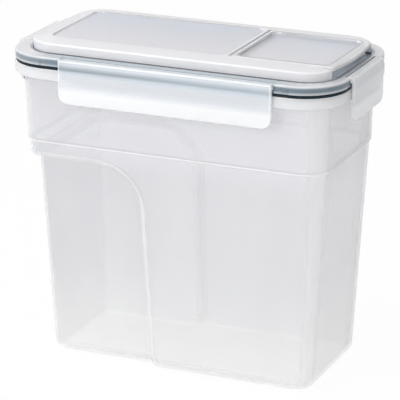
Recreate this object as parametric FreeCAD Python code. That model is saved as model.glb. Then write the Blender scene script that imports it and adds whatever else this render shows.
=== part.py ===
import FreeCAD, Part
import math
import os
from collections import namedtuple

# A tall dry-food container with a clip-on lid and a hinged pouring flap, in millimetres.
# The origin is the middle of the base, +X runs along the length to the pouring end, +Z is up.

# Container walls, measured on the outside; left and right are distances from the middle of the lid
MOUTH_HEIGHT = 212.7
MOUTH_LEFT = 108.7
MOUTH_RIGHT = 113.0
MOUTH_WIDTH = 112.2
MOUTH_LEFT_CORNER = 9.5
MOUTH_RIGHT_CORNER = 20.5
LEDGE_HEIGHT = 159.4
LEDGE_STEP = 1.1
LEDGE_LEFT_CORNER = 9.0
LEDGE_RIGHT_CORNER = 18.7
BAND_DRAFT = 1.2
SIDE_DRAFT = 7.0
RIGHT_DRAFT = 9.8
BASE_LEFT_CORNER = 9.0
BASE_RIGHT_CORNER = 12.0
BASE_EDGE_RADIUS = 3.2
WALL = 2.0
FLOOR = 2.2

# Hand grip: the sunk zone round the left end of the container
GRIP_DEPTH = 6.2
GRIP_TOP = 146.6
GRIP_EDGE_X = -16.8
GRIP_EDGE_LEAN = 2.5
GRIP_SWEEP_RADIUS = 31.0
GRIP_OUTER_RADIUS = 3.6
GRIP_STEP_FLAT = 0.6

# Flange round the mouth, with its turned-down skirt
FLANGE_REACH = 7.4
FLANGE_LEFT_REACH = 11.7
FLANGE_CORNER = 31.2
FLANGE_PLATE = 2.2
FLANGE_HEIGHT = 7.8
SKIRT_WALL = 2.0
CATCH_CHAMFER = 1.2
FLANGE_EDGE_RADIUS = 0.8

# Lid frame
RIM_SETBACK = 0.4
RIM_HEIGHT = 5.9
RIM_EDGE_RADIUS = 1.0
GASKET_GAP = 2.3
PLUG_DEPTH = 7.0
PLUG_WALL = 1.8
PLUG_CLEARANCE = 0.8
DECK_DROP = 1.5
DECK_PLATE = 2.0
COLLAR_WALL = 2.0
COLLAR_HEIGHT = 5.0
COLLAR_CORNER = 6.0

# Gasket, a flat ring with a tongue in the lid's channel
GASKET_SETBACK = 0.7
GASKET_INNER_CLEARANCE = 0.4
TONGUE_WIDTH = 3.4
TONGUE_HEIGHT = 2.0
TONGUE_CLEARANCE = 0.1

# Raised top panel
SIDE_LAND = 12.3
LEFT_LAND = 12.2
RIGHT_LAND = 8.5
PANEL_GROOVE = 0.9
PANEL_CORNER = 20.0
PANEL_WALL_HEIGHT = 7.7
PANEL_WALL = 2.0
PANEL_PLATE = 2.0
PANEL_RIDGE_RADIUS = 1.2
BORDER_WIDTH = 13.2
BORDER_RISE = 1.9
PANEL_RECESS = 1.0
HINGE_RIB = 2.0

# Pouring flap
FLAP_SETBACK = 9.5
FLAP_LENGTH = 71.1
FLAP_SIDE_MARGIN = 14.3
FLAP_BOW = 3.5
FLAP_CORNER = 3.0
FLAP_EDGE_RADIUS = 0.7
FLAP_THICKNESS = 3.0
FLAP_RECESS = 1.5
FLAP_RECESS_CORNER = 5.0
FLAP_HINGE_RIM = 2.4
FLAP_SIDE_RIM = 2.6
FLAP_LIP_RIM = 4.0
FLAP_SIDE_CLEARANCE = 0.5
FLAP_BARREL_RADIUS = 1.9
FLAP_BARREL_CLEARANCE = 0.9
FLAP_PIN_RADIUS = 1.0
FLAP_OVERHANG = 1.5
FLAP_PLUG_DEPTH = 3.0
FLAP_PLUG_WALL = 1.4
FLAP_PLUG_CLEARANCE = 0.6
SEAL_CLEARANCE = 0.3

# Side latches
LONG_LATCH_LEFT_MARGIN = 14.6
LONG_LATCH_RIGHT_MARGIN = 9.8
SHORT_LATCH_MARGIN = 4.3
LATCH_HEIGHT = 30.2
LATCH_PLATE = 2.4
LATCH_GAP = 0.5
LATCH_CORNER = 7.0
LATCH_EDGE_RADIUS = 1.2
BARREL_RADIUS = 1.9
BARREL_CLEARANCE = 0.7
PIN_RADIUS = 1.0
PIN_LENGTH = 2.4
PIN_COVER = 0.8
PIN_CLEARANCE = 0.05
END_CLEARANCE = 0.4
HOOK_REACH = 1.1
HOOK_CLEARANCE = 0.3
HOOK_HEIGHT = 4.6
HOOK_END_MARGIN = 8.0
POCKET_DEPTH = 0.6
POCKET_MARGIN = 3.4
POCKET_HOOK_MARGIN = 1.0

# Heights and lines that several pieces share
RIM_BOTTOM = MOUTH_HEIGHT + GASKET_GAP
RIM_TOP = RIM_BOTTOM + RIM_HEIGHT
DECK_TOP = RIM_TOP - DECK_DROP
RIDGE = DECK_TOP + PANEL_WALL_HEIGHT
PANEL_TOP = RIDGE + BORDER_RISE
COLLAR_TOP = DECK_TOP + COLLAR_HEIGHT
FLAP_TOP = PANEL_TOP
FLAP_UNDERSIDE = FLAP_TOP - FLAP_THICKNESS
FLAP_AXIS_Z = FLAP_TOP - FLAP_BARREL_RADIUS
LATCH_AXIS_INSET = PIN_RADIUS + PIN_CLEARANCE + PIN_COVER
LATCH_AXIS_Z = RIM_TOP - BARREL_RADIUS
NOTCH_DEPTH = LATCH_AXIS_INSET + BARREL_RADIUS + BARREL_CLEARANCE
SKIRT_BOTTOM = MOUTH_HEIGHT - FLANGE_HEIGHT
HOOK_TOP = SKIRT_BOTTOM + CATCH_CHAMFER + LATCH_GAP - HOOK_CLEARANCE * math.sqrt(2)
HOOK_BOTTOM = HOOK_TOP - HOOK_HEIGHT
FAR = 400.0

Outline = namedtuple("Outline", "left right half left_corner right_corner")


def plate(left, right, half, corner):
    """Rounded rectangle in plan with one corner radius, from a left to a right end."""
    return Outline(left, right, half, corner, corner)


def grown(outline, offset):
    """The outline moved outwards by the offset, or inwards where it is negative."""
    return Outline(
        outline.left - offset,
        outline.right + offset,
        outline.half + offset,
        max(outline.left_corner + offset, 0.5),
        max(outline.right_corner + offset, 0.5),
    )


def between(first, second, share):
    """The outline at a share of the way from the first to the second."""
    return Outline(*[a + (b - a) * share for a, b in zip(first, second)])


MOUTH = Outline(-MOUTH_LEFT, MOUTH_RIGHT, MOUTH_WIDTH / 2, MOUTH_LEFT_CORNER, MOUTH_RIGHT_CORNER)
LEDGE = grown(MOUTH, -BAND_DRAFT - LEDGE_STEP)._replace(
    left_corner=LEDGE_LEFT_CORNER, right_corner=LEDGE_RIGHT_CORNER
)
BASE = Outline(
    LEDGE.left + SIDE_DRAFT,
    LEDGE.right - RIGHT_DRAFT,
    LEDGE.half - SIDE_DRAFT,
    BASE_LEFT_CORNER,
    BASE_RIGHT_CORNER,
)
FLANGE = plate(
    MOUTH.left - FLANGE_LEFT_REACH, MOUTH.right + FLANGE_REACH, MOUTH.half + FLANGE_REACH, FLANGE_CORNER
)
RIM = grown(FLANGE, -RIM_SETBACK)
PLUG = grown(MOUTH, -WALL - PLUG_CLEARANCE)
PANEL = plate(RIM.left + LEFT_LAND, RIM.right - RIGHT_LAND, RIM.half - SIDE_LAND, PANEL_CORNER)
BORDER = grown(PANEL, -BORDER_WIDTH)
FLAP_HALF = PANEL.half - FLAP_SIDE_MARGIN
FLAP_GAP_HALF = FLAP_HALF + FLAP_SIDE_CLEARANCE
FLAP_END_X = RIM.right - FLAP_SETBACK
FLAP_AXIS_X = FLAP_END_X - FLAP_LENGTH
FLAP_GAP_X = FLAP_AXIS_X - FLAP_BARREL_RADIUS - FLAP_BARREL_CLEARANCE
COLLAR = plate(
    FLAP_AXIS_X + FLAP_BARREL_RADIUS + FLAP_BARREL_CLEARANCE,
    FLAP_END_X - FLAP_OVERHANG,
    FLAP_HALF - FLAP_OVERHANG,
    COLLAR_CORNER,
)
POUR_OPENING = grown(COLLAR, -COLLAR_WALL)


def vector(x, y, z):
    return FreeCAD.Vector(x, y, z)


def line(start, end):
    return Part.LineSegment(start, end).toShape()


def arc(start, middle, end):
    return Part.Arc(start, middle, end).toShape()


def outline_wire(outline, z):
    """Closed wire of a rounded rectangle at one height."""
    left, right, half, left_corner, right_corner = outline
    corners = [
        (right - right_corner, -half + right_corner, right_corner, -90),
        (right - right_corner, half - right_corner, right_corner, 0),
        (left + left_corner, half - left_corner, left_corner, 90),
        (left + left_corner, -half + left_corner, left_corner, 180),
    ]

    def on_corner(index, turn):
        x, y, radius, start = corners[index]
        angle = math.radians(start + turn)
        return vector(x + radius * math.cos(angle), y + radius * math.sin(angle), z)

    edges = []
    for index in range(4):
        edges.append(line(on_corner(index - 1, 90), on_corner(index, 0)))
        edges.append(arc(on_corner(index, 0), on_corner(index, 45), on_corner(index, 90)))
    return Part.Wire(edges)


def prism(outline, bottom, top):
    """Upright solid of one outline."""
    return Part.Face(outline_wire(outline, bottom)).extrude(vector(0, 0, top - bottom))


def taper(lower, bottom, upper, top):
    """Solid with straight sloping sides from one outline to another."""
    return Part.makeLoft([outline_wire(lower, bottom), outline_wire(upper, top)], True, True)


def ring(outer, inner, bottom, top):
    """Upright ring between two outlines."""
    return prism(outer, bottom, top).cut(prism(inner, bottom, top))


def block(x_low, x_high, half, bottom, top):
    """Box across the middle plane."""
    return Part.makeBox(x_high - x_low, 2 * half, top - bottom, vector(x_low, -half, bottom))


def bar(radius, x, half, z):
    """Round bar along Y, centred on the middle plane."""
    return Part.makeCylinder(radius, 2 * half, vector(x, -half, z), vector(0, 1, 0))


def polygon(points):
    return Part.Face(Part.makePolygon(points + points[:1]))


def level_edges(shape, z):
    """Edges that lie wholly at one height."""
    box_of = [(edge, edge.BoundBox) for edge in shape.Edges]
    return [edge for edge, box in box_of if abs(box.ZMin - z) < 0.01 and abs(box.ZMax - z) < 0.01]


def grip_zone(growth):
    """Prism across the container that holds the grip: a level top, a round sweep and a leaning edge."""
    lean = math.radians(GRIP_EDGE_LEAN)
    top = GRIP_TOP + growth
    bottom = -top
    edge_x = GRIP_EDGE_X + growth / math.cos(lean)
    foot_x = edge_x - bottom * math.tan(lean)
    corner_x = edge_x - top * math.tan(lean)
    radius = GRIP_SWEEP_RADIUS + growth
    half_turn = (math.pi / 2 - lean) / 2
    reach = radius * math.tan(half_turn)
    sweep_start = vector(corner_x + reach * math.sin(lean), -FAR, top - reach * math.cos(lean))
    sweep_end = vector(corner_x - reach, -FAR, top)
    middle = vector(sweep_end.x, -FAR, top - radius)
    direction = (sweep_start + sweep_end) * 0.5 - middle
    sweep_middle = middle + direction.normalize() * radius
    corners = [vector(-FAR, -FAR, top), vector(-FAR, -FAR, bottom), vector(foot_x, -FAR, bottom)]
    edges = [
        line(sweep_end, corners[0]),
        line(corners[0], corners[1]),
        line(corners[1], corners[2]),
        line(corners[2], sweep_start),
        arc(sweep_start, sweep_middle, sweep_end),
    ]
    return Part.Face(Part.Wire(edges)).extrude(vector(0, 2 * FAR, 0))


def depth_in(outline, point):
    """Distance of a point inside a rounded rectangle, seen in plan."""
    middle_x = (outline.left + outline.right) / 2
    corner = outline.right_corner if point.x > middle_x else outline.left_corner
    across = abs(point.x - middle_x) - (outline.right - middle_x - corner)
    along = abs(point.y) - (outline.half - corner)
    outside = math.hypot(max(across, 0), max(along, 0)) + min(max(across, along), 0)
    return corner - outside


def grip_edges(shape, zone, inset, depth):
    """Edges of the grip's step that lie at one depth under the container's side."""
    found = []
    boundary = zone.Shells[0]
    for edge in shape.Edges:
        middle = edge.valueAt((edge.FirstParameter + edge.LastParameter) / 2)
        section = grown(between(BASE, LEDGE, middle.z / LEDGE_HEIGHT), -inset)
        if abs(depth_in(section, middle) - depth) < 0.2:
            if Part.Vertex(middle).distToShape(boundary)[0] < 0.01:
                found.append(edge)
    return found


def container_form(inset, bottom):
    """The container's outside, or its inside where an inset is given, as one solid."""
    low_section = grown(between(BASE, LEDGE, bottom / LEDGE_HEIGHT), -inset)
    high_section = grown(LEDGE, -inset)
    lower = taper(low_section, bottom, high_section, LEDGE_HEIGHT)
    core_low = grown(low_section, -GRIP_DEPTH)
    core_high = grown(high_section, -GRIP_DEPTH)
    core = taper(core_low, bottom, core_high, LEDGE_HEIGHT)
    zone = grip_zone(inset)
    lower = lower.cut(zone.cut(core)).removeSplitter()
    hollow_radius = GRIP_DEPTH - GRIP_STEP_FLAT - GRIP_OUTER_RADIUS
    lower = lower.makeFillet(hollow_radius + inset, grip_edges(lower, zone, inset, GRIP_DEPTH))
    lower = lower.makeFillet(GRIP_OUTER_RADIUS - inset, grip_edges(lower, zone, inset, 0))
    band_low = grown(LEDGE, LEDGE_STEP - inset)
    band = taper(band_low, LEDGE_HEIGHT, grown(MOUTH, -inset), MOUTH_HEIGHT)
    return lower.fuse(band).removeSplitter()


def container_body():
    """Thin-walled tub with a sunk grip, a ledge, and a flange whose skirt takes the latches."""
    inside = container_form(WALL, FLOOR)
    chamfer_top = SKIRT_BOTTOM + CATCH_CHAMFER
    flange = taper(grown(FLANGE, -CATCH_CHAMFER), SKIRT_BOTTOM, FLANGE, chamfer_top)
    upright = prism(FLANGE, chamfer_top, MOUTH_HEIGHT)
    upright = upright.makeFillet(FLANGE_EDGE_RADIUS, level_edges(upright, MOUTH_HEIGHT))
    hollow = prism(grown(FLANGE, -SKIRT_WALL), SKIRT_BOTTOM, MOUTH_HEIGHT - FLANGE_PLATE)
    flange = flange.fuse(upright).cut(hollow)
    outside = container_form(0, 0)
    outside = outside.makeFillet(BASE_EDGE_RADIUS, level_edges(outside, 0))
    return outside.fuse(flange).cut(inside).removeSplitter()


def lid_frame():
    """Rim, plug skirt and deck of the lid, with the collar of the pouring opening."""
    land = grown(PANEL, PANEL_GROOVE)
    rim = prism(RIM, RIM_BOTTOM, RIM_TOP)
    rim = rim.makeFillet(RIM_EDGE_RADIUS, level_edges(rim, RIM_TOP))
    rim = rim.cut(prism(land, DECK_TOP, RIM_TOP))
    rim = rim.cut(prism(grown(PLUG, -PLUG_WALL), RIM_BOTTOM, DECK_TOP - DECK_PLATE))
    rim = rim.fuse(ring(PLUG, grown(PLUG, -PLUG_WALL), MOUTH_HEIGHT - PLUG_DEPTH, RIM_BOTTOM))
    rim = rim.cut(tongue(TONGUE_CLEARANCE))
    collar = prism(COLLAR, DECK_TOP, COLLAR_TOP)
    frame = rim.fuse(collar)
    frame = frame.cut(prism(POUR_OPENING, RIM_BOTTOM, COLLAR_TOP))
    for place in latch_places():
        frame = frame.cut(latch_seat(*place))
    return frame.removeSplitter()


def tongue(clearance):
    """Tongue of the gasket, or its channel where a clearance is given."""
    inner = grown(PLUG, GASKET_INNER_CLEARANCE - clearance)
    outer = grown(PLUG, GASKET_INNER_CLEARANCE + TONGUE_WIDTH + clearance)
    return ring(outer, inner, RIM_BOTTOM, RIM_BOTTOM + TONGUE_HEIGHT + clearance)


def lid_gasket():
    """Soft ring between the rim and the flange."""
    lip = ring(grown(RIM, -GASKET_SETBACK), grown(PLUG, GASKET_INNER_CLEARANCE), MOUTH_HEIGHT, RIM_BOTTOM)
    return lip.fuse(tongue(0)).removeSplitter()


def lid_top_panel():
    """Raised hollow cover with a sloping border, a shallow recess and a gap for the flap."""
    cover = prism(PANEL, DECK_TOP, RIDGE).fuse(taper(PANEL, RIDGE, BORDER, PANEL_TOP))
    cover = cover.makeFillet(PANEL_RIDGE_RADIUS, level_edges(cover, RIDGE))
    recess = plate(BORDER.left, FLAP_GAP_X - HINGE_RIB, BORDER.half, BORDER.left_corner)
    cover = cover.cut(prism(recess, PANEL_TOP - PANEL_RECESS, PANEL_TOP))
    inner = grown(PANEL, -PANEL_WALL)
    ceiling = PANEL_TOP - PANEL_RECESS - PANEL_PLATE
    hollow = prism(inner, DECK_TOP, RIDGE - PANEL_PLATE)
    hollow = hollow.fuse(taper(inner, RIDGE - PANEL_PLATE, BORDER, ceiling))
    surround = block(FLAP_GAP_X - PANEL_WALL, FAR, FLAP_GAP_HALF + PANEL_WALL, DECK_TOP, RIDGE)
    cover = cover.cut(hollow.cut(surround))
    cover = cover.cut(block(FLAP_GAP_X, FAR, FLAP_GAP_HALF, DECK_TOP, PANEL_TOP))
    bore = bar(FLAP_PIN_RADIUS + PIN_CLEARANCE, FLAP_AXIS_X, FLAP_GAP_HALF + PANEL_WALL, FLAP_AXIS_Z)
    return cover.cut(bore).removeSplitter()


def flap_outline(bottom, top):
    """Flap seen from above: straight sides and a gently bowed free end, rounded at its corners."""
    start = vector(FLAP_AXIS_X, -FLAP_HALF, bottom)
    near = vector(FLAP_END_X, -FLAP_HALF, bottom)
    far = vector(FLAP_END_X, FLAP_HALF, bottom)
    back = vector(FLAP_AXIS_X, FLAP_HALF, bottom)
    bowed = arc(near, vector(FLAP_END_X + FLAP_BOW, 0, bottom), far)
    wire = Part.Wire([line(start, near), bowed, line(far, back), line(back, start)])
    solid = Part.Face(wire).extrude(vector(0, 0, top - bottom))
    upright = [edge for edge in solid.Edges if edge.BoundBox.XMin > FLAP_END_X - 0.01]
    upright = [edge for edge in upright if edge.BoundBox.ZLength > 1 and edge.BoundBox.YLength < 1]
    return solid.makeFillet(FLAP_CORNER, upright)


def pour_flap():
    """Hinged flap with a framed recess, a finger lip, and a plug rib that enters the collar."""
    recess = plate(
        FLAP_AXIS_X + FLAP_HINGE_RIM, FLAP_END_X - FLAP_LIP_RIM, FLAP_HALF - FLAP_SIDE_RIM, FLAP_RECESS_CORNER
    )
    flap = flap_outline(FLAP_UNDERSIDE, FLAP_TOP)
    top_edges = [edge for edge in level_edges(flap, FLAP_TOP) if edge.BoundBox.XMax > FLAP_AXIS_X + 0.01]
    flap = flap.makeFillet(FLAP_EDGE_RADIUS, top_edges)
    flap = flap.cut(prism(recess, FLAP_TOP - FLAP_RECESS, FLAP_TOP))
    flap = flap.fuse(bar(FLAP_BARREL_RADIUS, FLAP_AXIS_X, FLAP_HALF, FLAP_AXIS_Z))
    pin_half = FLAP_GAP_HALF + PANEL_WALL - END_CLEARANCE
    flap = flap.fuse(bar(FLAP_PIN_RADIUS, FLAP_AXIS_X, pin_half, FLAP_AXIS_Z))
    plug = grown(POUR_OPENING, -FLAP_PLUG_CLEARANCE)
    rib = ring(plug, grown(plug, -FLAP_PLUG_WALL), FLAP_UNDERSIDE - FLAP_PLUG_DEPTH, FLAP_UNDERSIDE)
    return flap.fuse(rib).removeSplitter()


def pour_flap_seal():
    """Soft ring under the flap that closes on the collar."""
    return ring(COLLAR, POUR_OPENING, COLLAR_TOP + SEAL_CLEARANCE, FLAP_UNDERSIDE)


def latch_places():
    """Length, shift along the side, distance of the side from the middle, and turn about Z, of each latch."""
    long_start = RIM.left + RIM.left_corner + LONG_LATCH_LEFT_MARGIN
    long_end = RIM.right - RIM.right_corner - LONG_LATCH_RIGHT_MARGIN
    long_length = long_end - long_start
    long_middle = (long_start + long_end) / 2
    short_length = 2 * (RIM.half - RIM.right_corner - SHORT_LATCH_MARGIN)
    return [
        (long_length, long_middle, RIM.half, 0),
        (short_length, 0, RIM.right, 90),
        (long_length, -long_middle, RIM.half, 180),
        (short_length, 0, -RIM.left, 270),
    ]


def placed(shape, shift, turn):
    """A latch's shape, made at the middle of the front, moved along its side and turned to its side."""
    shape.translate(vector(shift, 0, 0))
    shape.rotate(vector(0, 0, 0), vector(0, 0, 1), turn)
    return shape


def latch_bar(radius, half, distance):
    """Round bar on the latch's hinge axis, for the place at the front."""
    start = vector(-half, -distance + LATCH_AXIS_INSET, LATCH_AXIS_Z)
    return Part.makeCylinder(radius, 2 * half, start, vector(1, 0, 0))


def latch_seat(length, shift, distance, turn):
    """Notch in the rim for the latch's barrel, with the bores for its pins."""
    half = length / 2 + END_CLEARANCE
    start = vector(-half, -distance - 1, RIM_BOTTOM)
    notch = Part.makeBox(2 * half, NOTCH_DEPTH + 1, RIM_HEIGHT, start)
    bores = latch_bar(PIN_RADIUS + PIN_CLEARANCE, length / 2 + PIN_LENGTH + END_CLEARANCE, distance)
    return placed(notch.fuse(bores), shift, turn)


def latch(length, shift, distance, turn):
    """Latch plate hung from a barrel, with a catch rib under the flange and a shallow back pocket."""
    half = length / 2
    inner_y = -distance - RIM_SETBACK - LATCH_GAP
    outer_y = inner_y - LATCH_PLATE
    axis_y = -distance + LATCH_AXIS_INSET
    bottom = RIM_TOP - LATCH_HEIGHT
    plate = Part.makeBox(length, LATCH_PLATE, LATCH_HEIGHT, vector(-half, outer_y, bottom))
    plate = plate.makeFillet(LATCH_CORNER, lower_corner_edges(plate, bottom))
    elbow_height = 2 * BARREL_RADIUS
    elbow_start = vector(-half, inner_y, RIM_TOP - elbow_height)
    elbow = Part.makeBox(length, axis_y - inner_y, elbow_height, elbow_start)
    body = plate.fuse(elbow).fuse(latch_bar(BARREL_RADIUS, half, distance)).removeSplitter()
    outer_edges = [edge for edge in body.Edges if edge.BoundBox.YMax < outer_y + 0.01]
    body = body.makeFillet(LATCH_EDGE_RADIUS, outer_edges)
    body = body.fuse(catch_rib(half - HOOK_END_MARGIN, inner_y))
    body = body.cut(back_pocket(half - POCKET_MARGIN, inner_y, bottom + POCKET_MARGIN))
    body = body.fuse(latch_bar(PIN_RADIUS, half + PIN_LENGTH, distance))
    return placed(body.removeSplitter(), shift, turn)


def lower_corner_edges(plate, bottom):
    """The two edges through a plate at the ends of its lower side."""
    return [edge for edge in level_edges(plate, bottom) if edge.BoundBox.XLength < 0.01]


def catch_rib(half, inner_y):
    """Rib whose sloping top lies under the skirt's bevelled lower edge."""
    reach = LATCH_GAP + HOOK_REACH
    profile = polygon([
        vector(-half, inner_y, HOOK_TOP),
        vector(-half, inner_y + reach, HOOK_TOP - reach),
        vector(-half, inner_y + reach, HOOK_BOTTOM + reach),
        vector(-half, inner_y, HOOK_BOTTOM),
    ])
    return profile.extrude(vector(2 * half, 0, 0))


def back_pocket(half, inner_y, bottom):
    """Shallow pocket in the plate's back below the catch rib, which leaves a border."""
    top = HOOK_BOTTOM - POCKET_HOOK_MARGIN
    start = vector(-half, inner_y - POCKET_DEPTH, bottom)
    pocket = Part.makeBox(2 * half, POCKET_DEPTH, top - bottom, start)
    return pocket.makeFillet(LATCH_CORNER - POCKET_MARGIN, lower_corner_edges(pocket, bottom))


def build():
    """Every piece by name."""
    pieces = {
        "container_body": container_body(),
        "lid_frame": lid_frame(),
        "lid_gasket": lid_gasket(),
        "lid_top_panel": lid_top_panel(),
        "pour_flap": pour_flap(),
        "pour_flap_seal": pour_flap_seal(),
    }
    names = ["front_latch", "right_latch", "back_latch", "left_latch"]
    for name, place in zip(names, latch_places()):
        pieces[name] = latch(*place)
    return pieces


os.makedirs("parts", exist_ok=True)
for name, shape in build().items():
    solid = shape.Solids[0] if len(shape.Solids) == 1 else shape
    print(name, "valid" if solid.isValid() else "NOT VALID", len(shape.Solids), round(solid.Volume, 1))
    solid.exportStep("parts/" + name + ".step")
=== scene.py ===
import math

import bmesh
import bpy
import numpy as np
from mathutils import Matrix, Vector


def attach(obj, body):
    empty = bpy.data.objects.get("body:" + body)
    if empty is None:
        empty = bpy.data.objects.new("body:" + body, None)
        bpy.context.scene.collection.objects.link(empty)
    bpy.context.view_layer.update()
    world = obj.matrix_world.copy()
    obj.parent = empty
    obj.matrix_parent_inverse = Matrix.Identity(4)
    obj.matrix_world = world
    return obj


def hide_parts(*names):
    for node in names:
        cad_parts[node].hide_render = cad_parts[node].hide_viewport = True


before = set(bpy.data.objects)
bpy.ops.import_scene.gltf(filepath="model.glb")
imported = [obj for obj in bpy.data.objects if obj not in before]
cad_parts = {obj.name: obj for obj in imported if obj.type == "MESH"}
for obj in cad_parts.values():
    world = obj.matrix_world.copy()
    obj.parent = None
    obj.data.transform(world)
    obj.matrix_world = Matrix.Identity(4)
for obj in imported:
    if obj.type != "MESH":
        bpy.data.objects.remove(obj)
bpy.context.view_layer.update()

# The photograph's camera: turn round the container and height angle in degrees, focal length in pixels,
# and place in metres along the camera's own axes.
CAMERA_TURN = 23.5946
CAMERA_HEIGHT = 18.5950
FOCAL_PIXELS = 2482.82
CAMERA_SHIFT = (-0.000547, -0.106156, -1.758362)
PHOTO_WIDTH = 400.0
SENSOR_WIDTH = 36.0

# Rounded outlines in plan, in metres: left end, right end, half width, corner radius.
PANEL_FOOT = (-0.1078, 0.1115, 0.0508, 0.020)
PANEL_FIELD = (-0.0946, 0.0346, 0.0376, 0.0068)
FLAP_FIELD = (0.0418, 0.1065, 0.0339, 0.005)

# Heights on the container, in metres, from the floor up.
FLOOR_TOP = 0.0045
FOOT_PAINTED_LIGHT = 0.075
BAND_START = 0.140
LEDGE_HIGHLIGHT = 0.1581
LATCH_COOL = 0.1995
SKIRT_FOOT = 0.2035
LATCH_WEB = 0.2148
RIM_FOOT = 0.2150
COLLAR_FOOT = 0.2197
RIM_TOP = 0.2206
PANEL_LOW = 0.2210

# Distances from the middle, in metres: where the end walls, the short latches, the painted light on the lid's
# paler ends and the fainter painted shade of the groove begin, and the inner limits of the rim's outer side along
# and across.
END_WALLS = 0.103
SHORT_LATCHES = 0.110
PAINTED_LIGHT_ENDS = 0.080
GROOVE_SHADE_ENDS = 0.085
RIM_SIDE = (0.1085, 0.0515)

# Widths of faces, in metres, that count as a rounded edge and as a broad face.
NARROW = 0.0008
BROAD = 0.0016
# Share of the full whiteness on the edges of a piece with upright corners; that whiteness is partly a painted
# highlight.
EDGE_SHARE = 0.8
# The upright corners, which get a painted highlight, lie further than this from the middle.
CORNER_REACH = 0.07
# Below this height the rounded foot is less white.
FOOT_FADE = 0.015
# Largest angle, in degrees, between faces of one plane, and between faces of one smooth round.
ONE_PLANE = 0.5
ONE_ROUND = 30.0
# The tub's lower edge: radius of the full round, of the solid's edge, wall and floor, and the added sections.
FOOT_ROUND = 0.009
FOOT_EDGE = 0.0032
TUB_WALL = 0.002
TUB_FLOOR = 0.0022
FOOT_SECTIONS = (0.0026, 0.0034, 0.0043, 0.0056, 0.0073, 0.0091)
# Points nearer than this, in metres, are one.
MERGE = 1e-6

# Strength of the white room where it only lights.
ROOM_LIGHT = 0.625
# Share of white in the floor where it is seen, so that it keeps the shadow.
FLOOR_WHITE = 0.96

WHITE = (1.0, 1.0, 1.0)
# White of the marked edges and corners, partly a painted highlight.
EDGE_WHITE_AND_HIGHLIGHT = (0.99, 0.99, 1.0)


class Socket:
    """A shader socket with arithmetic: an expression on values adds its Math nodes."""

    def __init__(self, tree, output):
        self.tree = tree
        self.output = output

    def math(self, operation, *values):
        return self.tree.node("ShaderNodeMath", {"operation": operation}, dict(enumerate(values)))

    def __add__(self, other):
        return self.math("ADD", self, other)

    def __radd__(self, other):
        return self.math("ADD", other, self)

    def __sub__(self, other):
        return self.math("SUBTRACT", self, other)

    def __rsub__(self, other):
        return self.math("SUBTRACT", other, self)

    def __mul__(self, other):
        return self.math("MULTIPLY", self, other)

    def __rmul__(self, other):
        return self.math("MULTIPLY", other, self)

    def __pow__(self, other):
        return self.math("POWER", self, other)

    def __abs__(self):
        return self.math("ABSOLUTE", self)

    def most(self, other):
        return self.math("MAXIMUM", self, other)

    def least(self, other):
        return self.math("MINIMUM", self, other)

    def within(self, low, high):
        return self.most(low).least(high)

    def rise(self, start, slope, low=0.0):
        """Rises from 0 at start to 1 at this slope per metre, kept between low and 1."""
        return ((self - start) * slope).within(low, 1.0)

    def fall(self, end, slope, low=0.0):
        """Falls at this slope per metre from 1 to 0 at end, kept between low and 1."""
        return ((end - self) * slope).within(low, 1.0)

    def stripe(self, place, slope, top=1.0):
        """A stripe at a place: top less the slope times the distance from it, kept between 0 and 1."""
        return (top - abs(self - place) * slope).within(0.0, 1.0)


class Tree:
    """A node tree with one method that makes any node."""

    def __init__(self, owner):
        owner.use_nodes = True
        self.nodes = owner.node_tree.nodes
        self.links = owner.node_tree.links
        self.nodes.clear()

    def node(self, kind, settings=None, inputs=None, output=0):
        """Add a node: settings first, then its sockets' values or links; gives one output."""
        made = self.nodes.new(kind)
        for name, value in (settings or {}).items():
            setattr(made, name, value)
        for name, value in (inputs or {}).items():
            socket = made.inputs[name]
            if isinstance(value, Socket):
                self.links.new(value.output, socket)
            elif socket.type == "RGBA":
                socket.default_value = (*value, 1.0)
            else:
                socket.default_value = value
        return Socket(self, made.outputs[output]) if len(made.outputs) else None

    def place(self):
        """The point on the piece, in metres."""
        return self.node("ShaderNodeTexCoord", output="Object")

    def axes(self):
        """The point's three coordinates."""
        return [self.node("ShaderNodeSeparateXYZ", {}, {0: self.place()}, axis) for axis in range(3)]

    def inside(self, x, y, outline):
        """Depth inside a rounded rectangle in plan, given by its two ends, half width and corner radius.

        With a and b the distances past the corners' centres, it is the radius less the length of their
        positive parts, less the larger of a and b where both are negative."""
        left, right, half, corner = outline
        along = abs(x - (left + right) / 2) - ((right - left) / 2 - corner)
        across = abs(y) - (half - corner)
        outer = (along.most(0.0) ** 2 + across.most(0.0) ** 2) ** 0.5
        return corner - (outer + along.most(across).least(0.0))

    def noise(self, scale, detail, roughness=0.5, stretch=(1, 1, 1)):
        """Soft noise from 0 to 1 over the piece, stretched along its axes."""
        turned = self.node("ShaderNodeMapping", {}, {"Vector": self.place(), "Scale": stretch})
        inputs = {"Vector": turned, "Scale": scale, "Detail": detail, "Roughness": roughness}
        return self.node("ShaderNodeTexNoise", {}, inputs, "Fac")

    def cloud(self):
        """Wide clouds for the tints of moulded plastic."""
        return self.noise(9.0, 2.0)

    def drift(self, amount):
        """A slow drift of the wall's density about 0."""
        return (self.noise(14.0, 2.0) - 0.5) * amount

    def blend(self, share, first, second):
        """A colour between two others."""
        inputs = {0: share, 6: first, 7: second}
        return self.node("ShaderNodeMix", {"data_type": "RGBA"}, inputs, 2)

    def bump(self, height, strength, distance):
        return self.node("ShaderNodeBump", {}, {"Height": height, "Strength": strength, "Distance": distance})

    def finish(self, surface, kind="Material"):
        """The tree's last node."""
        self.node("ShaderNodeOutput" + kind, {}, {"Surface": surface})


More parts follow.
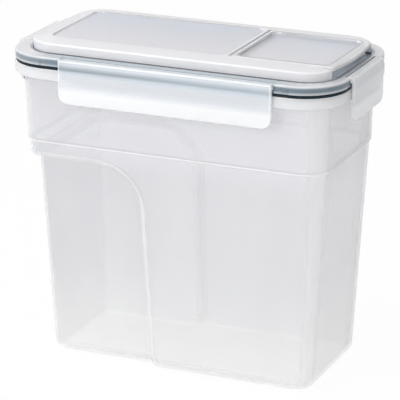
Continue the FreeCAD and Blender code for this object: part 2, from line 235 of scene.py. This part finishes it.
def plastic(name, tint, thin, clear, haze, grain=0.04, ripple=0.0, dense=0.7):
    """Moulded plastic; the functions tint and thin give its colour and its opacity on the tree.

    clear is the share of light that bends through, haze the mean roughness and grain its drift. A low
    ripple of the mould's flow bends the normals. Narrow rounded faces and the marked upright corners are whiter,
    partly as thick milky plastic and partly as a painted highlight, and denser by the share dense of what is left
    to full opacity."""
    material = bpy.data.materials.new(name)
    tree = Tree(material)
    fine = tree.noise(160.0, 3.0)
    edge = tree.node("ShaderNodeAttribute", {"attribute_name": "edge"}, {}, "Fac")
    opacity = thin(tree)
    inputs = {
        # Whiter on the marked edges and corners: partly thick milky plastic, partly a painted highlight.
        "Base Color": tree.blend(edge * 0.8, tint(tree), EDGE_WHITE_AND_HIGHLIGHT),
        "Roughness": (fine - 0.5) * grain + haze,
        "Transmission Weight": clear,
        "Alpha": opacity + edge * (1.0 - opacity) * dense,
        "IOR": 1.49,
    }
    if ripple:
        flow = tree.noise(38.0, 2.0, 0.4, (1.0, 1.0, 0.35))
        inputs["Normal"] = tree.bump(flow, ripple, 0.001)
    tree.finish(tree.node("ShaderNodeBsdfPrincipled", {}, inputs))
    return material


def silicone(name, dark, pale):
    """Dark soft silicone with a satin skin and a fine matt grain."""
    material = bpy.data.materials.new(name)
    tree = Tree(material)
    fine = tree.noise(900.0, 2.0)
    inputs = {
        "Base Color": tree.blend(tree.noise(40.0, 2.0), dark, pale),
        "Roughness": fine * 0.15 + 0.32,
        "Normal": tree.bump(fine, 0.08, 0.0004),
        "IOR": 1.42,
        "Specular IOR Level": 0.2,
    }
    tree.finish(tree.node("ShaderNodeBsdfPrincipled", {}, inputs))
    return material


def even(opacity):
    """An opacity with a slow drift."""
    return lambda tree: tree.drift(0.02) + opacity


def ledge_highlight(z):
    """1 on the thin painted highlight line just under the ledge, 0 away from it."""
    return z.stripe(LEDGE_HIGHLIGHT, 1200.0, 1.3)


def body_tint(tree):
    """Faint grey of the clear walls in soft upright streaks, paler towards the foot as painted light.

    The upper band is whiter as painted light against the lid's shade, and greyer on the end walls as painted
    shade under the latches. The line under its ledge is a painted white highlight, and the flange is whiter
    plastic, partly painted light against the rim's shadow."""
    x, _, z = tree.axes()
    streaks = (tree.noise(60.0, 3.0, 0.5, (1.0, 1.0, 0.10)) - 0.5) * 2.0 + 0.55
    wall = tree.blend(streaks.within(0.0, 1.0), (0.725, 0.725, 0.76), (0.815, 0.815, 0.84))
    # Painted light: paler towards the foot, where the white floor shows through.
    foot = tree.blend(z.fall(FOOT_PAINTED_LIGHT, 16.0), wall, (0.89, 0.89, 0.89))
    # Painted light on the front and back of the band; painted shade on its end walls.
    upper = tree.blend(abs(x).rise(END_WALLS, 160.0), (0.87, 0.87, 0.91), (0.68, 0.68, 0.71))
    band = tree.blend(z.rise(BAND_START, 60.0), foot, upper)
    # Painted white highlight line under the ledge.
    ledge = tree.blend(ledge_highlight(z) * 0.7, band, WHITE)
    # Whiter flange plastic, partly painted light against the rim's shadow.
    return tree.blend(z.rise(SKIRT_FOOT, 1000.0), ledge, (0.97, 0.98, 1.0))


def body_thickness(tree):
    """Even thin walls with a slow drift, denser at the flange and under the ledge, clearer at the floor."""
    z = tree.axes()[2]
    flange = z.rise(SKIRT_FOOT, 1000.0) * 0.48
    base = z.fall(FLOOR_TOP, 500.0) * -0.16
    return tree.drift(0.03) + flange + base + ledge_highlight(z) * 0.28 + 0.40


def long_latch(x):
    """1 on the front and back latches, 0.3 on the short ones at the ends."""
    return abs(x).fall(SHORT_LATCHES, 1000.0, 0.3)


def latch_web(tree):
    """Dense latch; the long ones have a thin clear line in front of the gasket, fainter to the pouring end."""
    x, _, z = tree.axes()
    web = z.stripe(LATCH_WEB, 280.0) * long_latch(x) * (x * 1.2 - 0.33)
    return web + z.fall(SKIRT_FOOT, 250.0) * 0.25 + 0.72


def latch_tint(tree):
    """White below, with a cool cast at the thin line and on the strip above it."""
    x, _, z = tree.axes()
    white = tree.blend(tree.cloud(), (0.965, 0.975, 0.985), (0.975, 0.98, 0.99))
    cool = tree.blend(z.rise(LATCH_COOL, 250.0) * long_latch(x), white, (0.87, 0.90, 0.94))
    return tree.blend(z.stripe(RIM_FOOT, 200.0) * long_latch(x), cool, (0.80, 0.90, 0.98))


def lid_tint(tree):
    """White cover, dark at its foot as painted shade, with greyer sunk fields that painted shade makes cooler and
    darker at the back.

    A dark line of painted shade runs round the flap's field, and the flap's edge outside it is a painted white
    highlight."""
    x, y, z = tree.axes()
    panel = tree.inside(x, y, PANEL_FIELD)
    flap = tree.inside(x, y, FLAP_FIELD)
    white = tree.blend(tree.cloud(), (0.925, 0.92, 0.945), (0.94, 0.935, 0.955))
    pale = tree.blend(tree.cloud(), (0.82, 0.81, 0.85), (0.85, 0.84, 0.875))
    # Painted shade: the fields turn darker and cooler towards the back.
    grey = tree.blend((y * 16.0 + 0.45).within(0.0, 1.0), pale, (0.735, 0.765, 0.835))
    fields = tree.blend(panel.most(flap).rise(0.0, 3000.0), white, grey)
    # Painted shade at the cover's foot.
    cover = tree.blend(z.fall(PANEL_LOW, 4000.0), fields, (0.16, 0.17, 0.21))
    # Painted white highlight on the flap's edge.
    edged = tree.blend(flap.stripe(-0.0026, 700.0, 1.2), cover, WHITE)
    # Painted shade: a dark line round the flap's field.
    return tree.blend(flap.stripe(-0.0005, 1100.0) * 0.8, edged, (0.34, 0.38, 0.42))


def rim_tint(tree):
    """Pale inside the lid and on its top land, and nearly white on the land at the two ends as painted light.

    The rim's outer side is blue-grey, darker towards the pouring end as painted shade, and paler at its foot.
    The groove round the panel is painted shade, dark, less so at the ends, and the collar under the flap is deep
    blue-grey as painted shade under the flap's lip."""
    x, y, z = tree.axes()
    depth = tree.inside(x, y, PANEL_FOOT)
    outer = (abs(x) - RIM_SIDE[0]).most(abs(y) - RIM_SIDE[1]).rise(0.0, 400.0)
    side = outer * z.fall(RIM_TOP, 600.0) * z.rise(RIM_FOOT, 500.0, 0.35)
    # Painted shade along the groove round the panel, fainter at the ends.
    groove = depth.rise(-0.0029, 2500.0) * depth.fall(0.0006, 5000.0)
    # Painted shade on the collar under the flap's lip.
    collar = depth.rise(0.0005, 5000.0) * z.rise(COLLAR_FOOT, 5000.0)
    land = tree.blend(tree.cloud(), (0.66, 0.75, 0.82), (0.70, 0.78, 0.84))
    # Painted light: nearly white on the land at the two ends.
    pale = tree.blend(abs(x).rise(PAINTED_LIGHT_ENDS, 50.0), land, (0.97, 0.965, 1.0))
    # Painted shade darkening the outer side towards the pouring end, with a cloud of random tone.
    along = (x * 4.0 + tree.cloud()).within(0.0, 1.0)
    deep = tree.blend(along, (0.305, 0.37, 0.425), (0.195, 0.265, 0.315))
    shade = tree.blend(abs(x).rise(GROOVE_SHADE_ENDS, 45.0), (0.12, 0.14, 0.18), (0.46, 0.55, 0.63))
    sunk = tree.blend(groove, tree.blend(side, pale, deep), shade)
    return tree.blend(collar, sunk, (0.43, 0.51, 0.59))


CLEAR_BODY = plastic(
    "clear_body", body_tint, body_thickness, clear=0.40, haze=0.20, grain=0.03, ripple=0.01, dense=0.35)
TINTED_RIM = plastic("tinted_rim", rim_tint, even(0.98), clear=0.35, haze=0.18, ripple=0.01)
FROSTED_LID = plastic("frosted_lid", lid_tint, even(0.88), clear=0.25, haze=0.42)
FROSTED_FLAP = plastic("frosted_flap", lid_tint, even(0.78), clear=0.30, haze=0.34)
FROSTED_LATCH = plastic("frosted_latch", latch_tint, latch_web, clear=0.30, haze=0.30, dense=0.4)
DARK_SILICONE = silicone("dark_silicone", (0.007, 0.018, 0.026), (0.011, 0.026, 0.036))


def numbers(items, name, width=1, kind=np.float64):
    """One property of all of a mesh's items as an array, in rows where it has several numbers."""
    values = np.empty(len(items) * width, dtype=kind)
    items.foreach_get(name, values)
    return values.reshape(-1, width) if width > 1 else values


def face_pairs(mesh):
    """The two faces on each edge of a closed mesh of triangles, and each edge's length."""
    edge_of = numbers(mesh.loops, "edge_index", kind=np.int32)
    face_of = np.repeat(np.arange(len(mesh.polygons)), 3)
    order = np.argsort(edge_of, kind="stable")
    same = np.flatnonzero(edge_of[order][1:] == edge_of[order][:-1])
    span = numbers(mesh.vertices, "co", 3)[numbers(mesh.edges, "vertices", 2, np.int32)]
    length = np.linalg.norm(span[:, 1] - span[:, 0], axis=1)[edge_of[order][same]]
    return face_of[order][same], face_of[order][same + 1], length


def narrow_faces(mesh, corner=None):
    """At each face's corners: 1 on narrow strips of rounded edges, 0 on broad faces, a soft painted highlight
    round uprights.

    Faces in one plane get one label, the lowest face number that reaches them over shared edges. A label's
    width is twice its area over the length of its border, and the value falls from 1 at NARROW to 0 at BROAD.
    Where corner is given, the value is EDGE_SHARE of that, and below FOOT_FADE it also falls with the square of
    the height. At the upright corners it is a painted highlight of corner times u (1 - u^4) / 0.535, which peaks
    at 1, where u is the square of the share of the vertex normal's level part that points along the length."""
    faces = len(mesh.polygons)
    normal = numbers(mesh.polygons, "normal", 3)
    area = numbers(mesh.polygons, "area")
    first, second, length = face_pairs(mesh)
    flat = (normal[first] * normal[second]).sum(1) > math.cos(math.radians(ONE_PLANE))
    label = np.arange(faces)
    settled = False
    while not settled:
        lowest = np.minimum(label[first[flat]], label[second[flat]])
        new = label.copy()
        np.minimum.at(new, first[flat], lowest)
        np.minimum.at(new, second[flat], lowest)
        settled = (new == label).all()
        label = new
    border = label[first] != label[second]
    total = np.bincount(label, area, faces)
    around = np.bincount(label[first[border]], length[border], faces)
    around += np.bincount(label[second[border]], length[border], faces)
    width = 2.0 * total[label] / np.maximum(around[label], 1e-9)
    narrow = np.clip((BROAD - width) / (BROAD - NARROW), 0.0, 1.0)
    if corner is None:
        return np.repeat(narrow, 3)
    centre = numbers(mesh.polygons, "center", 3)
    turned = (normal[:, 0] * normal[:, 1]) ** 2
    upright = (np.abs(normal[:, 2]) < 0.2) & (turned > 0.0002) & (np.abs(centre[:, 0]) > CORNER_REACH)
    risen = np.clip(centre[:, 2] / FOOT_FADE, 0.0, 1.0) ** 2
    level = numbers(mesh.vertices, "normal", 3)[:, :2] ** 2
    share = level[:, 0] / np.maximum(level.sum(1), 1e-9)
    # Painted highlight on the upright corners, strongest past the middle of the turn towards the end walls.
    corner_highlight = share * (1.0 - share ** 4) / 0.535 * corner
    vertex = numbers(mesh.loops, "vertex_index", kind=np.int32)
    return np.where(np.repeat(upright, 3), corner_highlight[vertex], np.repeat(narrow * risen * EDGE_SHARE, 3))


def round_draw(radius, height):
    """How far a round lower edge draws in at a height: R - sqrt(R^2 - (R - h)^2) below R, 0 above."""
    below = np.clip(radius - height, 0.0, radius)
    return radius - np.sqrt(radius ** 2 - below ** 2)


def round_foot(mesh):
    """Turns the tub's small lower edge into a full round, inside and outside.

    A level section draws in by round_draw of the full round less that of the solid's own edge, the height being
    counted from the face under it. It shrinks about its middle, so that its outermost sides draw in by that."""
    points = numbers(mesh.vertices, "co", 3)
    normal = numbers(mesh.vertices, "normal", 3)
    height = points[:, 2]
    low = points[height < FOOT_ROUND]
    middle = (low.min(0) + low.max(0))[:2] / 2
    half = (low.max(0) - low.min(0))[:2] / 2
    level = points[:, :2] - middle
    outer = ((normal[:, :2] * level).sum(1) > 0.0) | (height < TUB_FLOOR / 2)
    outside = round_draw(FOOT_ROUND, height) - round_draw(FOOT_EDGE, height)
    inside = round_draw(FOOT_ROUND - TUB_WALL, np.maximum(height - TUB_FLOOR, 0.0))
    draw = np.where(outer, outside, inside)
    points[:, :2] = middle + level * (1.0 - draw[:, None] / half)
    mesh.vertices.foreach_set("co", points.ravel())
    mesh.update()


def moulding(node, body, finish, corner=None, sections=()):
    """The node's solid as a moulded piece: doubles merged, rounds smooth, broad faces flat to the light.

    Level sections add the rings that a round foot bends along."""
    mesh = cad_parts[node].data.copy()
    mesh.name = node + "_moulding"
    work = bmesh.new()
    work.from_mesh(mesh)
    bmesh.ops.remove_doubles(work, verts=work.verts, dist=MERGE)
    for height in sections:
        everything = work.verts[:] + work.edges[:] + work.faces[:]
        bmesh.ops.bisect_plane(work, geom=everything, dist=MERGE, plane_co=(0, 0, height), plane_no=(0, 0, 1))
    if sections:
        bmesh.ops.triangulate(work, faces=work.faces)
    work.to_mesh(mesh)
    work.free()
    if sections:
        round_foot(mesh)
    values = mesh.attributes.new("edge", "FLOAT", "CORNER")
    values.data.foreach_set("value", narrow_faces(mesh, corner))
    mesh.shade_smooth()
    mesh.set_sharp_from_angle(angle=math.radians(ONE_ROUND))
    mesh.materials.clear()
    mesh.materials.append(finish)
    piece = bpy.data.objects.new(node + "_moulding", mesh)
    bpy.context.scene.collection.objects.link(piece)
    flat = piece.modifiers.new("flat_faces", "WEIGHTED_NORMAL")
    flat.mode = "FACE_AREA"
    flat.weight = 90
    flat.keep_sharp = True
    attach(piece, body)
    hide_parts(node)


# corner=1.0 gives the tub's upright corners a painted highlight.
moulding("container_body", "container", CLEAR_BODY, corner=1.0, sections=FOOT_SECTIONS)
moulding("lid_frame", "lid", TINTED_RIM, corner=0.0)
moulding("lid_gasket", "lid", DARK_SILICONE)
moulding("lid_top_panel", "lid", FROSTED_LID, corner=0.0)
moulding("pour_flap", "pour_flap", FROSTED_FLAP)
moulding("pour_flap_seal", "pour_flap", DARK_SILICONE)
for side in ("front", "right", "back", "left"):
    moulding(side + "_latch", side + "_latch", FROSTED_LATCH)


def seen_white(tree, share):
    """Share of white that the camera, mirrors and clear plastic see."""
    names = ("Is Camera Ray", "Is Glossy Ray", "Is Transmission Ray")
    camera_ray, glossy, through = [tree.node("ShaderNodeLightPath", output=name) for name in names]
    return camera_ray.most(glossy).most(through) * share


def floor():
    """Level white floor, wide enough to fill the view, just under the container."""
    corners = [(-4, -4, 0), (4, -4, 0), (4, 4, 0), (-4, 4, 0)]
    mesh = bpy.data.meshes.new("floor")
    mesh.from_pydata(corners, [], [(0, 1, 2, 3)])
    piece = bpy.data.objects.new("floor", mesh)
    piece.location.z = -0.0005
    bpy.context.scene.collection.objects.link(piece)
    material = bpy.data.materials.new("white_floor")
    tree = Tree(material)
    matt = tree.node("ShaderNodeBsdfDiffuse", {}, {"Color": (0.9, 0.9, 0.9)})
    white = tree.node("ShaderNodeEmission", {}, {"Color": WHITE, "Strength": 1.0})
    seen = seen_white(tree, FLOOR_WHITE)
    tree.finish(tree.node("ShaderNodeMixShader", {}, {0: seen, 1: matt, 2: white}))
    mesh.materials.append(material)


def studio():
    """White room: white where it is seen, softer where it lights."""
    world = bpy.data.worlds.new("studio")
    bpy.context.scene.world = world
    tree = Tree(world)
    strength = seen_white(tree, 1.0 - ROOM_LIGHT) + ROOM_LIGHT
    tree.finish(tree.node("ShaderNodeBackground", {}, {"Color": WHITE, "Strength": strength}), "World")


def lamp(name, place, target, size, power):
    """Square soft box that faces the target."""
    data = bpy.data.lights.new(name, "AREA")
    data.shape = "SQUARE"
    data.size = size
    data.energy = power
    piece = bpy.data.objects.new(name, data)
    piece.location = place
    piece.rotation_euler = (Vector(target) - Vector(place)).to_track_quat("-Z", "Y").to_euler()
    bpy.context.scene.collection.objects.link(piece)


def camera():
    """Camera at the photograph's place and angle."""
    turn = math.radians(CAMERA_TURN)
    height = math.radians(CAMERA_HEIGHT)
    back = Vector((math.sin(turn) * math.cos(height), -math.cos(turn) * math.cos(height), math.sin(height)))
    right = Vector((math.cos(turn), math.sin(turn), 0))
    up = back.cross(right)
    place = -(right * CAMERA_SHIFT[0] + up * CAMERA_SHIFT[1] + back * CAMERA_SHIFT[2])
    data = bpy.data.cameras.new("camera")
    data.sensor_width = SENSOR_WIDTH
    data.lens = FOCAL_PIXELS * SENSOR_WIDTH / PHOTO_WIDTH
    piece = bpy.data.objects.new("camera", data)
    turned = Matrix((right, up, back)).transposed().to_4x4()
    piece.matrix_world = Matrix.Translation(place) @ turned
    bpy.context.scene.collection.objects.link(piece)
    bpy.context.scene.camera = piece


floor()
studio()
camera()
lamp("key", (-0.7, -1.6, 0.9), (0, 0, 0.12), size=0.9, power=13.5)
lamp("top", (-0.6, -0.45, 1.6), (0, 0, 0.2), size=0.5, power=8.2)
lamp("fill", (1.3, -1.0, 0.7), (0, 0, 0.12), size=0.8, power=2.6)
bpy.context.scene.view_settings.view_transform = "Standard"
